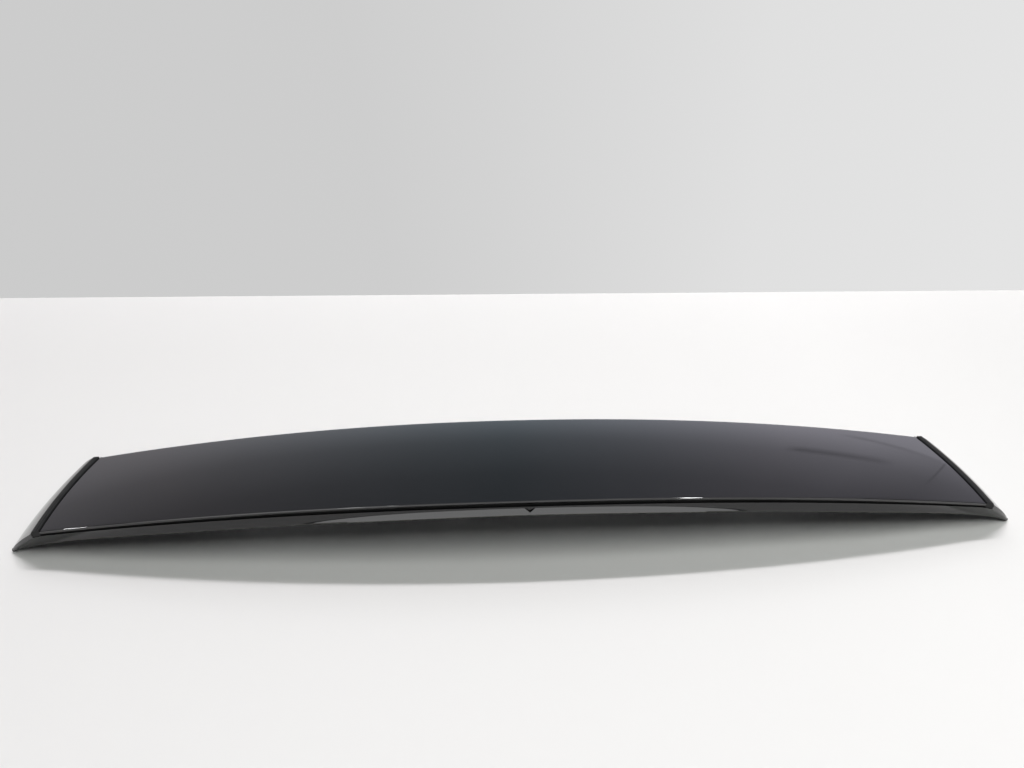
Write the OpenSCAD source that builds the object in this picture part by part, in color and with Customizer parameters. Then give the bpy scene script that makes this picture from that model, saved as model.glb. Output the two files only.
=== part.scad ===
// Arched trunk spoiler blade, resting on the straight feet of its two sides.
// X runs across the car, +Y points to the leading edge, Z is up, and the blade is as wide as its tips.
// Both shells are one mesh each: a grid of points across the blade (t from -1 to 1) and along its
// chord (s from 0 at the leading edge to 1 at the rear edge), closed round its border by rings.

/* [Panel outline] */
// Width of the top panel along its leading edge
panel_front_w = 1099; // [1000:1:1110]
// Width of the top panel along its rear edge
panel_rear_w = 1102; // [1040:1:1110]
// How far each side of the panel bows outward
panel_side_bow = 4.3; // [0:0.1:8]
// Length of the panel from leading to rear edge, in the middle
chord = 193; // [160:1:240]
// How far the middle of the leading edge stands ahead of its corners
front_bow = 9; // [0:0.5:20]
// How far the middle of the rear edge stands behind its corners
rear_bow = 23; // [5:0.5:45]

/* [Panel heights] */
// Height of the leading edge in the middle, above what the blade rests on
front_h = 57; // [50:0.5:70]
// How far the leading edge drops from its middle to its corners
front_arch = 39; // [28:0.5:41]
// Height of the rear edge in the middle
rear_h = 90.5; // [80:0.5:96]
// How far the rear edge drops from its middle to its corners
rear_arch = 47.5; // [30:0.5:52]
// Power of the leading edge's arch, 2 for a parabola
front_arch_power = 2.1; // [1.8:0.01:2.6]
// Power of the rear edge's arch
rear_arch_power = 2.16; // [1.8:0.01:2.6]
// Rise of the panel above a straight chord, in the middle
crown_mid = 6; // [0:0.5:12]
// Rise of the panel above a straight chord, at its sides
crown_side = 0.5; // [0:0.1:4]

/* [Edges of the upper shell] */
// Thickness of the upper shell
upper_wall = 2.8; // [2:0.1:4]
// Radius of the rolled leading edge
nose_r = 5; // [3:0.5:6]
// Height of the rolled leading edge
nose_h = 7.5; // [6.5:0.1:8]
// Radius of the lip along the rear edge
lip_r = 1.2; // [1:0.1:3]
// Height of the lip along the rear edge and of the side edges
lip_h = 3.4; // [3.1:0.1:4]
// Radius of the side edges
side_r = 1.2; // [0.5:0.1:2]

/* [Edge seal] */
// Width of the seal along the sides
seal_w = 8.6; // [5:0.1:10]
// How far the seal stands above the panel along the sides
seal_proud = 1.8; // [0.5:0.1:3]
// How far the seal's cut ends stop short of the leading edge
seal_short = 3.5; // [0.5:0.5:4.5]
// Height of the seal under the rear lip, in the middle
rear_seal_h_mid = 3.7; // [3:0.1:5]
// Height of the seal under the rear lip, at its ends
rear_seal_h_end = 2; // [2:0.1:3.5]
// Depth of the seal under the rear lip, front to back
rear_seal_w = 3.6; // [2.5:0.1:5]
// How far the seal sits back from the face of the rear lip
rear_seal_back = 0.8; // [0.3:0.1:1.5]
// Clearance between a piece and what it seats on
seat = 0.2; // [0.1:0.05:0.4]

/* [Lower shell] */
// Width of the blade from tip to tip
tip_span = 1200; // [1180:1:1260]
// Width over the feet at the leading edge
foot_front_w = 1155; // [1140:1:1180]
// How far each side foot bows outward
foot_side_bow = 5.6; // [0:0.1:7]
// How far the tips stand ahead of the rear corners of the panel
tip_ahead = 12.8; // [4:0.1:18]
// How far the very ends of the tips run back behind their own line
tip_nub = 2.5; // [0:0.1:3]
// Height of the painted face below the rear lip, seal gap included, in the middle
rear_face_h = 14.2; // [12:0.1:16]
// How far the lower edge of the rear face stands behind the lip
rear_lean = 2.3; // [1:0.1:5]
// How much further it kicks out in the middle
rear_kick = 3.5; // [1:0.1:5]
// Half width of the ledge that the kick forms
kick_half_w = 265; // [150:5:400]
// Depth of the upright strip above the ledge, as a share of the rear face
kick_top = 0.27; // [0.15:0.01:0.5]
// Power of the arch of the rear face's lower edge
foot_arch_power = 1.72; // [1.6:0.01:2.4]
// How far the tips hook down below that arch
tip_drop = 20.7; // [6:0.1:30]
// Power of the hook, larger for a shorter one
tip_power = 10.3; // [8:0.1:24]
// Height of the front face, from the top of the leading edge down
front_face_h = 14; // [13.5:0.1:14]
// How much the front face's lower edge flattens towards its corners, 1 for not at all
front_foot_ease = 1.25; // [1.2:0.05:1.6]
// Thickness of the lower shell's floor
floor_wall = 2.8; // [2:0.1:3]
// Width of the painted rim outside the seal
rim_w = 0.8; // [0.5:0.1:1.5]
// How far the rim lies below the panel's surface
rim_below = 0.5; // [0:0.1:1.5]
// How far the side walls bulge beyond a flat wall
side_bulge = 1.7; // [0:0.1:3]
// Radius of the lower edges
foot_r = 3; // [1.5:0.1:3.5]
// Width of the centre mark in the rear face
mark_w = 12; // [6:1:20]
// Depth of the centre mark
mark_depth = 2; // [1:0.1:3]

/* [Mounting pads] */
// Distance between the two mounting pads, centre to centre
pad_spacing = 600; // [400:10:800]
// Size of a mounting plate across the blade
plate_l = 104; // [90:1:130]
// Size of a mounting plate along the chord
plate_d = 54; // [48:1:60]
// Thickness of a mounting plate
plate_t = 3; // [2:0.5:4]
// Corner radius of a mounting plate
plate_r = 8; // [2:1:12]
// Width of the moulded pad that shows round a plate
pad_rim = 4; // [2:0.5:8]
// Height of a pad's face above what the blade rests on
pad_z = 30; // [26:0.5:32]
// Distance from the panel's leading edge to the middle of a pad, at its own station
pad_back = 92; // [80:1:110]

/* [Fasteners] */
// Distance between the two threaded holes of a plate
nut_spacing = 60; // [50:1:70]
// Thread diameter of the press nuts
nut_thread_d = 6; // [5:0.5:8]
// Diameter of a press nut's shank
nut_shank_d = 9; // [8.5:0.1:10]
// Diameter of a press nut's head
nut_head_d = 13; // [11:0.5:14]
// Height of a press nut's head
nut_head_h = 5; // [3:0.5:6]
// Diameter of the locating pin
pin_d = 8; // [8:0.5:10]
// Diameter of the pin's neck, which is riveted through the plate
pin_neck_d = 6.5; // [5:0.5:7.5]
// Length of the locating pin below the plate
pin_l = 9; // [5:0.5:12]
// Diameter of the locating pin's collar above the plate
pin_collar_d = 12; // [11:0.5:14]
// Height of the locating pin's collar
pin_collar_h = 3; // [2:0.5:4]
// Distance between the plate screws across the blade
screw_dx = 86; // [80:1:100]
// Distance between the plate screws along the chord
screw_dy = 36; // [30:1:42]
// Shank diameter of the plate screws
screw_d = 5; // [4:0.5:6]
// Length of a plate screw under its head
screw_l = 10; // [7:0.5:10]
// Head diameter of the plate screws
screw_head_d = 9; // [8:0.5:11]
// Head height of the plate screws
screw_head_h = 3; // [2:0.5:4]
// Across flats of the plate screws' socket
screw_key = 4; // [2.5:0.5:5]
// Clearance round a screw, pin or nut in its hole
hole_play = 0.2; // [0.1:0.05:0.4]
// Clearance round a pressed nut or pin in its plate
press_play = 0.05; // [0.02:0.01:0.1]

/* [Stop buffers] */
// Distance between the two rubber stop buffers
buffer_spacing = 340; // [240:10:400]
// Diameter of a buffer
buffer_d = 16; // [12:1:20]
// Height of a buffer
buffer_h = 9; // [6:0.5:14]
// Diameter of the boss that holds a buffer
buffer_boss_d = 24; // [22:1:30]
// Height of a buffer boss's face above what the blade rests on
buffer_z = 41; // [36:0.5:42]
// Diameter of a buffer's stem
buffer_stem_d = 6; // [4:0.5:8]
// Length of a buffer's stem
buffer_stem_l = 7; // [4:0.5:8]

/* [Hidden] */
paint = [0.27, 0.28, 0.30];
rubber = [0.08, 0.08, 0.08];
zinc = [0.70, 0.71, 0.72];
steel = [0.55, 0.56, 0.58];
$fn = 48;

// Grid of the shells: stations across, closer towards the tips, stations along the chord, a step
// beside each corner, and how much the rows between the ends are drawn in from the border.
across = 56;
along = 8;
corner_step = 0.0003;
inner_step = 0.004;
function spread(u) = u * (1.35 - 0.35 * u * u) * (1 - corner_step);
ts = [for (i = [0:across]) i == 0 ? -1 : i == across ? 1 : spread(-1 + 2 * (i - 1) / (across - 2))];
ss = [for (j = [0:along]) j / along];
tiny = 0.0005;

// The origin lies under the middle of the blade's box. The front of the box is the rolled leading
// edge, which leans with the panel.
rear_out = rear_lean + rear_kick;
nose_tilt = atan2(rear_h - front_h + 4 * crown_mid, chord - nose_r - lip_r);
rear_y0 = (rear_out - chord + nose_r * sin(nose_tilt)) / 2;
front_y0 = rear_y0 + chord;

function lerp(a, b, u) = a + (b - a) * u;
function unit(v) = v / norm(v);
function end_sign(t) = t < 0 ? -1 : 1;

// Lines of the finished panel, as functions of t.
function front_y(t) = front_y0 - front_bow * t * t;
function rear_y(t) = rear_y0 + rear_bow * t * t;
function front_z(t) = front_h - front_arch * pow(abs(t), front_arch_power);
function rear_z(t) = rear_h - rear_arch * pow(abs(t), rear_arch_power);
function panel_half(s) = lerp(panel_front_w, panel_rear_w, s) / 2 + panel_side_bow * 4 * s * (1 - s);
function crown(t) = lerp(crown_mid, crown_side, t * t);

// A point of the panel's top surface. Its border is inset, because the edges roll on from there.
function skin(s, t) = [t * (panel_half(s) - side_r),
                       lerp(front_y(t) - nose_r, rear_y(t) + lip_r, s),
                       lerp(front_z(t), rear_z(t), s) + crown(t) * 4 * s * (1 - s)];
function skin_ds(s, t) = skin(s + tiny, t) - skin(s - tiny, t);
function skin_dt(s, t) = skin(s, t + tiny) - skin(s, t - tiny);
function normal(s, t) = unit(cross(skin_ds(s, t), skin_dt(s, t)));
function out_side(s, t) = end_sign(t) * unit(cross(normal(s, t), skin_ds(s, t)));

// The ways out past the rear and the leading edge. At the corners they run on along the sides.
function out_rear(t, at_corner) = unit(at_corner ? skin_ds(1, t) : cross(skin_dt(1, t), normal(1, t)));
function out_front(t, at_corner) =
    -unit(at_corner ? skin_ds(0, t) : cross(skin_dt(0, t), normal(0, t)));

// The border of the grid, clockwise from above: front, right side, rear, left side.
// Each entry is [station across, station along].
border = concat([for (i = [0:across - 1]) [i, 0]], [for (j = [0:along - 1]) [across, j]],
                [for (i = [across:-1:1]) [i, along]], [for (j = [along:-1:1]) [0, j]]);
function beside_corner(i) = i <= 1 || i >= across - 1;
function on_side(i) = i == 0 || i == across;

// A border point moved outward by side[0] past the panel's side or by rear[0] or front[0] past its
// ends, and up by the second value of the edge that it lies on. Each is a pair or a function.
function pair_at(pair, u) = is_function(pair) ? pair(u) : pair;
function edge_point(e, side_pair, rear_pair, front_pair) =
    let (i = e[0], j = e[1], s = ss[j], t = ts[i],
         side = pair_at(side_pair, s), rear = pair_at(rear_pair, t), front = pair_at(front_pair, t),
         wide = beside_corner(i) ? (side_r + side[0]) * out_side(s, t) : [0, 0, 0],
         long = j == 0 ? (nose_r + front[0]) * out_front(t, beside_corner(i))
              : j == along ? (lip_r + rear[0]) * out_rear(t, beside_corner(i)) : [0, 0, 0],
         up = on_side(i) ? side[1] : j == 0 ? front[1] : rear[1])
    skin(s, t) + wide + long + up * normal(s, t);
function edge_ring(side, rear, front) = [for (e = border) edge_point(e, side, rear, front)];

// A closed solid between a top and a bottom grid, whose borders are joined by rings. Its right half
// cuts its squares the other way, so that it mirrors the left one.
function turned(q, mirrored) = mirrored ? [q[1], q[2], q[3], q[0]] : q;
function halves(q) = [[q[0], q[1], q[2]], [q[0], q[2], q[3]]];
module grid_solid(top, rings, bottom) {
    count = len(top);
    loop = len(border);
    levels = len(rings) + 1;
    function at(level, k) = level == 0 ? border_spots[k % loop]
        : level == levels ? count + len(rings) * loop + border_spots[k % loop]
        : count + (level - 1) * loop + k % loop;
    points = concat(top, [for (r = rings) for (p = r) p], bottom);
    cells = [for (j = [0:along - 1]) for (i = [0:across - 1])
             let (a = j * (across + 1) + i, d = a + across + 1)
             turned([a, a + 1, d + 1, d], i >= across / 2)];
    low = count + len(rings) * loop;
    faces = concat(
        [for (c = cells) each halves(c)],
        [for (level = [0:levels - 1]) for (k = [0:loop - 1])
            let (a = at(level, k), b = at(level + 1, k), c = at(level + 1, k + 1), d = at(level, k + 1))
            each halves(turned([a, b, c, d], k >= across / 2 && k < (across + loop) / 2))],
        [for (c = cells) for (h = halves(c)) [low + h[0], low + h[2], low + h[1]]]);
    polyhedron(points = points, faces = faces, convexity = 8);
}

// The rows between the first and the last one keep clear of the border.
function column(i, j) = j == 0 || j == along || i % across == 0 ? ts[i] : ts[i] * (1 - inner_step);
function grid(f) = [for (j = [0:along]) for (i = [0:across]) f(ss[j], column(i, j))];

// A grid whose border points are swapped for those of a ring.
border_spots = [for (e = border) e[1] * (across + 1) + e[0]];
function with_border(points, ring) =
    [for (k = [0:len(points) - 1])
        let (hit = search(k, border_spots)) len(hit) > 0 ? ring[hit[0]] : points[k]];

// Upper shell: the crowned skin, rolled over at all four edges. The side's hem, which is lower than
// the nose, starts a little inside the nose's curve.
roll_steps = 4;
hem_back = 0.1 + nose_r - sqrt(max(0, pow(nose_r, 2) - pow(nose_r - min(lip_h, nose_r), 2)));
function roll(a) = [for (r = [side_r, lip_r, nose_r]) [-r * (1 - sin(a)), -r * (1 - cos(a))]];
module upper_shell() {
    rolled = [for (k = [1:roll_steps]) let (r = roll(90 * k / roll_steps)) edge_ring(r[0], r[1], r[2])];
    hem = edge_ring([0, -lip_h], [0, -lip_h], function (t) [abs(t) < 1 ? 0 : -hem_back, -nose_h]);
    hem_inside = edge_ring([-upper_wall, -lip_h], [-upper_wall, -lip_h], [-upper_wall, -nose_h]);
    under_edge = [-upper_wall, -upper_wall];
    under = edge_ring(under_edge, under_edge, under_edge);
    inner = grid(function (s, t)
        let (inset = t * (1 - (upper_wall - side_r) / panel_half(s)))
        skin(s, inset) - upper_wall * normal(s, inset));
    color(paint) grid_solid(grid(function (s, t) skin(s, t)), concat(rolled, [hem, hem_inside]),
        with_border(inner, under));
}

// Foot of the lower shell: its lowest line all round, straight along the sides from the front
// corners to the tips, where the blade rests.
ledge_front = nose_h + seat;
function rear_seal_h(t) = lerp(rear_seal_h_mid, rear_seal_h_end, t * t);
function ledge_rear(t) = lip_h + rear_seal_h(t) + 2 * seat;
function ledge_side(s) = lerp(ledge_front, ledge_rear(1), s);
function foot_half(s) = lerp(foot_front_w, tip_span, s) / 2 + foot_side_bow * 4 * s * (1 - s);
foot_front_h = front_h - front_face_h;
foot_rear_h = rear_h - lip_h - rear_face_h;
function kick(t) = rear_kick * max(0, 1 - pow(t * foot_half(1) / kick_half_w, 2));
function foot_front_y(t) = front_y(t) - foot_r;
function foot_rear_y(t) = rear_y(t) - kick(t) - lerp(rear_lean, -tip_ahead, pow(t, 6))
    - tip_nub * pow(t, 100);
function foot_front_z(t) = foot_front_h * pow(1 - pow(abs(t), front_arch_power), front_foot_ease);
function foot_rear_z(t) = (foot_rear_h - tip_drop) * (1 - pow(abs(t), foot_arch_power))
    + tip_drop * (1 - pow(abs(t), tip_power));

// Outside of the floor, inset by the radius of the foot, and its height under any place.
function floor_skin(s, t) = [t * (foot_half(s) - foot_r),
                             lerp(foot_front_y(t) - foot_r, foot_rear_y(t) + foot_r, s),
                             lerp(foot_front_z(t), foot_rear_z(t), s)];
function floor_t(x, s) = x / (foot_half(s) - foot_r);
function floor_s(y, t) = (foot_front_y(t) - foot_r - y)
    / (foot_front_y(t) - foot_rear_y(t) - 2 * foot_r);
function floor_z(x, y) =
    let (t = floor_t(x, floor_s(y, floor_t(x, 0.5))), s = floor_s(y, t))
    lerp(foot_front_z(t), foot_rear_z(t), s);

// The foot's border, moved out and up from the floor's border.
function foot_ring(out, up) = [for (e = border)
    let (p = floor_skin(ss[e[1]], ts[e[0]]))
    [p[0] + (beside_corner(e[0]) ? out * end_sign(ts[e[0]]) : 0),
     p[1] + (e[1] == 0 ? out : e[1] == along ? -out : 0), p[2] + up]];

// The painted wall between the rim and the foot has one line of points on the way down. At the
// rear it is the crease above the ledge, and from there the wall kicks out to the foot. At the sides
// it bulges outward.
function ledge_share(t) =
    let (u = min(1, abs(t) * foot_half(1) / kick_half_w)) lerp(kick_top, 0.9, pow(u, 3.5));
function side_bow_at(rim, foot) =
    let (dx = foot[0] - rim[0], dz = foot[2] - rim[2])
    side_bulge / norm([dx, dz]) * [-dz * sign(dx), 0, abs(dx)];
function wall_line(rim, foot) = [for (k = [0:len(border) - 1])
    let (e = border[k], t = ts[e[0]], beside = e[1] == 0 ? on_side(e[0]) : beside_corner(e[0]),
         down = e[1] == along && !beside ? ledge_share(t) : 0.5,
         out = beside ? side_bow_at(rim[k], foot[k])
             : e[1] == along ? [0, down * kick(t), 0] : [0, 0, 0])
    lerp(rim[k], foot[k], down) + out];

ledge_in = 3.5;
channel_out = seal_w + 2 * seat;

module tray() {
    shelf_side = function (s) [-ledge_in, -ledge_side(s)];
    shelf = edge_ring(shelf_side,
        function (t) [-rear_seal_back - rear_seal_w - 2 * seat, -ledge_rear(t)],
        [-upper_wall, -ledge_front]);
    channel = edge_ring(function (s) [channel_out, -ledge_side(s)],
        function (t) [-rear_seal_back, -ledge_rear(t)], [-upper_wall / 2, -ledge_front]);
    channel_top = edge_ring([channel_out, -rim_below],
        function (t) [-rear_seal_back / 2, -ledge_rear(t)], [-upper_wall / 4, -ledge_front]);
    rim = edge_ring([channel_out + rim_w, -rim_below],
        function (t) [0, -ledge_rear(t)], [0, -ledge_front]);
    foot_side = foot_ring(foot_r, foot_r);
    crease = wall_line(rim, foot_side);
    foot_turn = foot_ring(foot_r * sin(45), foot_r * (1 - cos(45)));
    inner = grid(function (s, t)
        let (x = t * edge_point([across, s * along], shelf_side, [0, 0], [0, 0])[0],
             y = lerp(front_y(t) - upper_wall, rear_y(t) + rear_seal_back + rear_seal_w, s))
        [x, y, floor_z(x, y) + floor_wall]);
    inner_edge = [for (k = [0:len(border) - 1])
        let (p = shelf[k], ahead = foot_side[k][1] - floor_wall,
             y = border[k][1] == 0 ? min(p[1], ahead) : p[1])
        [p[0], y, floor_z(p[0], y) + floor_wall]];
    grid_solid(with_border(inner, inner_edge), [shelf, channel, channel_top, rim, crease, foot_side,
        foot_turn], grid(function (s, t) floor_skin(s, t)));
}

// A moulded block under the floor: flat below, and with its top in the middle of the floor's wall.
module under_floor_block(outline, face_z) {
    n = len(outline);
    function top(p) = [p[0], p[1], floor_z(p[0], p[1]) + floor_wall / 2];
    middle = [for (k = [0:1]) (min([for (p = outline) p[k]]) + max([for (p = outline) p[k]])) / 2];
    points = concat([for (p = outline) top(p)], [for (p = outline) [p[0], p[1], face_z]],
                    [top(middle), [middle[0], middle[1], face_z]]);
    faces = [for (k = [0:n - 1]) let (m = (k + 1) % n)
        each [[k, n + k, n + m], [k, n + m, m], [2 * n, k, m], [2 * n + 1, n + m, n + k]]];
    polyhedron(points = points, faces = faces, convexity = 4);
}
function round_box(cx, cy, w, d, r, steps = 5) = [for (q = [0:3]) for (k = [0:steps])
    let (a = -90 * q + 90 - 90 * k / steps, sx = q < 2 ? 1 : -1, sy = q == 0 || q == 3 ? 1 : -1)
    [cx + sx * (w / 2 - r) + r * cos(a), cy + sy * (d / 2 - r) + r * sin(a)]];
function ring_box(cx, cy, d, steps = 24) = [for (k = [0:steps - 1])
    [cx + d / 2 * cos(-360 * k / steps), cy + d / 2 * sin(-360 * k / steps)]];

// Places on the underside, for side -1 (left) or 1 (right).
pad_x = pad_spacing / 2;
pad_y = front_y(pad_x / foot_half(0.5)) - pad_back;
buffer_y = pad_y;
function pad_centre(side) = [side * pad_x, pad_y];
function nut_place(side, place) = pad_centre(side) + [side * place * nut_spacing / 2, 0];
function screw_place(side, k) = pad_centre(side)
    + [(k % 2 == 0 ? -1 : 1) * screw_dx / 2, (k < 2 ? 1 : -1) * screw_dy / 2];
plate_z = pad_z - plate_t - seat;

module drill(place, d, z, depth) {
    translate([place[0], place[1], z]) cylinder(d = d, h = depth);
}

// The centre mark: a shallow triangle, point down, in the middle of the ledge.
module centre_mark() {
    rim_z = rear_h - ledge_rear(0);
    foot_z = foot_rear_h + foot_r;
    top_z = lerp(rim_z, foot_z, kick_top);
    top_y = rear_y(0) - kick_top * rear_lean;
    fall = atan2(rear_out - kick_top * rear_lean, top_z - foot_z);
    translate([0, top_y, top_z]) rotate([90 - fall, 0, 0]) translate([0, 0, -mark_depth])
        linear_extrude(3 * mark_depth)
            polygon([[-mark_w / 2, 0], [mark_w / 2, 0], [0, -mark_w / 2.4]]);
}

module lower_shell() {
    bore_low = 1;
    color(paint) difference() {
        union() {
            tray();
            for (side = [-1, 1]) {
                under_floor_block(round_box(side * pad_x, pad_y, plate_l + 2 * pad_rim,
                    plate_d + 2 * pad_rim, plate_r + pad_rim), pad_z);
                under_floor_block(ring_box(side * buffer_spacing / 2, buffer_y, buffer_boss_d),
                    buffer_z);
            }
        }
        for (side = [-1, 1]) {
            for (place = [-1, 1]) drill(nut_place(side, place), nut_head_d + 2 * hole_play,
                pad_z - bore_low, bore_low + nut_head_h + hole_play);
            drill(pad_centre(side), pin_collar_d + 2 * hole_play, pad_z - bore_low,
                bore_low + pin_collar_h + hole_play);
            for (k = [0:3]) drill(screw_place(side, k), screw_d + 2 * hole_play, pad_z - bore_low,
                bore_low + screw_l - plate_t + hole_play);
            drill([side * buffer_spacing / 2, buffer_y], buffer_stem_d + 2 * hole_play,
                buffer_z - bore_low, bore_low + buffer_stem_l + hole_play);
        }
        centre_mark();
    }
}

// Edge seal: a domed strip along each side and a low one under the rear lip, moulded in one piece.
module loft(rings) {
    n = len(rings[0]);
    last = len(rings) - 1;
    polyhedron(points = [for (r = rings) for (p = r) p], convexity = 6, faces = concat(
        [for (i = [0:last - 1]) for (k = [0:n - 1])
            let (a = i * n + k, b = i * n + (k + 1) % n, c = b + n, d = a + n)
            each [[a, b, c], [a, c, d]]],
        [for (k = [1:n - 2]) each [[0, k + 1, k], [last * n, last * n + k, last * n + k + 1]]]));
}

function beside_panel(s, out, up) =
    skin(s, 1) + (side_r + out) * out_side(s, 1) + up * normal(s, 1);
function dome(s) =
    let (low = seat - ledge_side(s), a = seat, b = seat + seal_w, r = seal_proud / 2)
    [for (q = [[a, low], [a, seal_proud - 2 * r], [a + 0.3 * r, seal_proud - 0.6 * r],
               [a + 1.2 * r, seal_proud], [b - 1.2 * r, seal_proud],
               [b - 0.3 * r, seal_proud - 0.6 * r], [b, seal_proud - 2 * r], [b, low]])
        beside_panel(s, q[0], q[1])];

module side_strip() {
    reach = chord - nose_r - lip_r;
    first = (seal_short - nose_r) / reach;
    end = 1 + (lip_r - rear_seal_back / 2) / reach;
    loft([for (s = concat([first], ss, [end])) dome(s)]);
}

module rear_strip() {
    stations = [for (i = [0:across]) if (i != 1 && i != across - 1) i];
    loft([for (i = stations)
        let (t = ts[i], top = -lip_h - seat, low = top - rear_seal_h(t), middle = (top + low) / 2,
             face = -rear_seal_back, inside = face - rear_seal_w)
        [for (q = [[face - 0.4, low], [face, middle], [face - 0.4, top], [inside, top], [inside, low]])
            edge_point([i, along], [seat + seal_w / 2, q[1]], q, [0, 0])]]);
}

module edge_seal() {
    color(rubber) union() {
        rear_strip();
        for (m = [0, 1]) mirror([m, 0, 0]) side_strip();
    }
}

// Mounting plate: flat, with two press nuts for the lift arm's bolts, a locating pin and four screws.
module mounting_plate(side) {
    hole_d = screw_d + 2 * hole_play;
    color(zinc) difference() {
        translate([0, 0, plate_z]) linear_extrude(plate_t)
            polygon(round_box(side * pad_x, pad_y, plate_l, plate_d, plate_r));
        for (place = [-1, 1])
            drill(nut_place(side, place), nut_shank_d + 2 * press_play, plate_z - 1, plate_t + 2);
        drill(pad_centre(side), pin_neck_d + 2 * press_play, plate_z - 1, plate_t + 2);
        for (k = [0:3]) drill(screw_place(side, k), hole_d, plate_z - 1, plate_t + 2);
    }
}

module press_nut(side, place) {
    at = nut_place(side, place);
    color(steel) translate([at[0], at[1], plate_z]) difference() {
        union() {
            cylinder(d = nut_shank_d, h = plate_t);
            translate([0, 0, plate_t]) cylinder(d = nut_head_d, h = nut_head_h);
        }
        translate([0, 0, -1]) cylinder(d = nut_thread_d, h = plate_t + nut_head_h + 2);
    }
}

module locating_pin(side) {
    at = pad_centre(side);
    lead = 1;
    color(steel) translate([at[0], at[1], plate_z]) rotate_extrude()
        polygon([[0, -pin_l], [pin_d / 2 - lead, -pin_l], [pin_d / 2, lead - pin_l], [pin_d / 2, 0],
                 [pin_neck_d / 2, 0], [pin_neck_d / 2, plate_t], [pin_collar_d / 2, plate_t],
                 [pin_collar_d / 2, plate_t + pin_collar_h], [0, plate_t + pin_collar_h]]);
}

module plate_screw(side, k) {
    at = screw_place(side, k);
    edge = 0.8;
    color(steel) translate([at[0], at[1], plate_z]) difference() {
        rotate_extrude()
            polygon([[0, -screw_head_h], [screw_head_d / 2 - edge, -screw_head_h],
                     [screw_head_d / 2, edge - screw_head_h], [screw_head_d / 2, 0],
                     [screw_d / 2, 0], [screw_d / 2, screw_l], [0, screw_l]]);
        translate([0, 0, -screw_head_h - 1])
            cylinder(d = screw_key / cos(30), h = 1 + screw_head_h * 0.7, $fn = 6);
    }
}

module stop_buffer(side) {
    edge = 2;
    taper = 1;
    color(rubber) translate([side * buffer_spacing / 2, buffer_y, buffer_z - seat]) rotate_extrude()
        polygon([[0, -buffer_h], [buffer_d / 2 - taper - edge, -buffer_h],
                 [buffer_d / 2 - taper, edge - buffer_h], [buffer_d / 2, 0],
                 [buffer_stem_d / 2, 0], [buffer_stem_d / 2, buffer_stem_l], [0, buffer_stem_l]]);
}

upper_shell();
lower_shell();
edge_seal();
mounting_plate(-1);  // mounting_plate_left
mounting_plate(1);  // mounting_plate_right
press_nut(-1, -1);  // press_nut_left_outer
press_nut(-1, 1);  // press_nut_left_inner
press_nut(1, -1);  // press_nut_right_inner
press_nut(1, 1);  // press_nut_right_outer
locating_pin(-1);  // locating_pin_left
locating_pin(1);  // locating_pin_right
plate_screw(-1, 0);  // plate_screw_left_1
plate_screw(-1, 1);  // plate_screw_left_2
plate_screw(-1, 2);  // plate_screw_left_3
plate_screw(-1, 3);  // plate_screw_left_4
plate_screw(1, 0);  // plate_screw_right_1
plate_screw(1, 1);  // plate_screw_right_2
plate_screw(1, 2);  // plate_screw_right_3
plate_screw(1, 3);  // plate_screw_right_4
stop_buffer(-1);  // stop_buffer_left
stop_buffer(1);  // stop_buffer_right
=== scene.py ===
import math

import bpy
import numpy as np
from mathutils import Matrix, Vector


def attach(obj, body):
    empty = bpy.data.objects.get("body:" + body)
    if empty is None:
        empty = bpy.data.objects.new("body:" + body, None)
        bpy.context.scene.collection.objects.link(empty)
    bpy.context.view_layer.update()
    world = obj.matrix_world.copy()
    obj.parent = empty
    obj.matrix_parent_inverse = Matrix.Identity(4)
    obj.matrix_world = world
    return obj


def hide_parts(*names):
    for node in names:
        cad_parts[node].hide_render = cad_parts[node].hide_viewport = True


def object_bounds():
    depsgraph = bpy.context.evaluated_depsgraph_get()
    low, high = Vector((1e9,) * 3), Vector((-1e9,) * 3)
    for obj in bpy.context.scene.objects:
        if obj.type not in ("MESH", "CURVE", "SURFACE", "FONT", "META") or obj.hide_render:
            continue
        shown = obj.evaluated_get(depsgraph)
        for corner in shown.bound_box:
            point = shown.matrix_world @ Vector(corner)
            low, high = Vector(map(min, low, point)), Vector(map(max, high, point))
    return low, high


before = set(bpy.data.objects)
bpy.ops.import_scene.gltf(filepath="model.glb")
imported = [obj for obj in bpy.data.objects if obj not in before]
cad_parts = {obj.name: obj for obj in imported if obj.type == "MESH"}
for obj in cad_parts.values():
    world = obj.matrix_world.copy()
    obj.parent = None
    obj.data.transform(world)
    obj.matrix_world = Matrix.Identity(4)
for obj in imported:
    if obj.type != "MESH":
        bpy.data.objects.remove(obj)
cad_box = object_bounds()

MM = 0.001

# Sizes of the blade in millimetres, the same as the named sizes of the CAD source.
PANEL_FRONT_W = 1099.0
PANEL_REAR_W = 1102.0
PANEL_SIDE_BOW = 4.3
CHORD = 193.0
FRONT_BOW = 9.0
REAR_BOW = 23.0
FRONT_H = 57.0
FRONT_ARCH = 39.0
REAR_H = 90.5
REAR_ARCH = 47.5
FRONT_ARCH_POWER = 2.1
REAR_ARCH_POWER = 2.16
CROWN_MID = 6.0
CROWN_SIDE = 0.5
UPPER_WALL = 2.8
NOSE_R = 5.0
NOSE_H = 7.5
LIP_R = 1.2
LIP_H = 3.4
SIDE_R = 1.2
SEAL_W = 8.6
SEAL_PROUD = 1.8
SEAL_SHORT = 3.5
REAR_SEAL_H_MID = 3.7
REAR_SEAL_H_END = 2.0
REAR_SEAL_W = 3.6
REAR_SEAL_BACK = 0.8
SEAT = 0.2
TIP_SPAN = 1200.0
FOOT_FRONT_W = 1155.0
FOOT_SIDE_BOW = 5.6
TIP_AHEAD = 12.8
TIP_AHEAD_POWER = 6
TIP_NUB = 2.5
TIP_NUB_POWER = 100
REAR_FACE_H = 14.2
REAR_LEAN = 2.3
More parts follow.
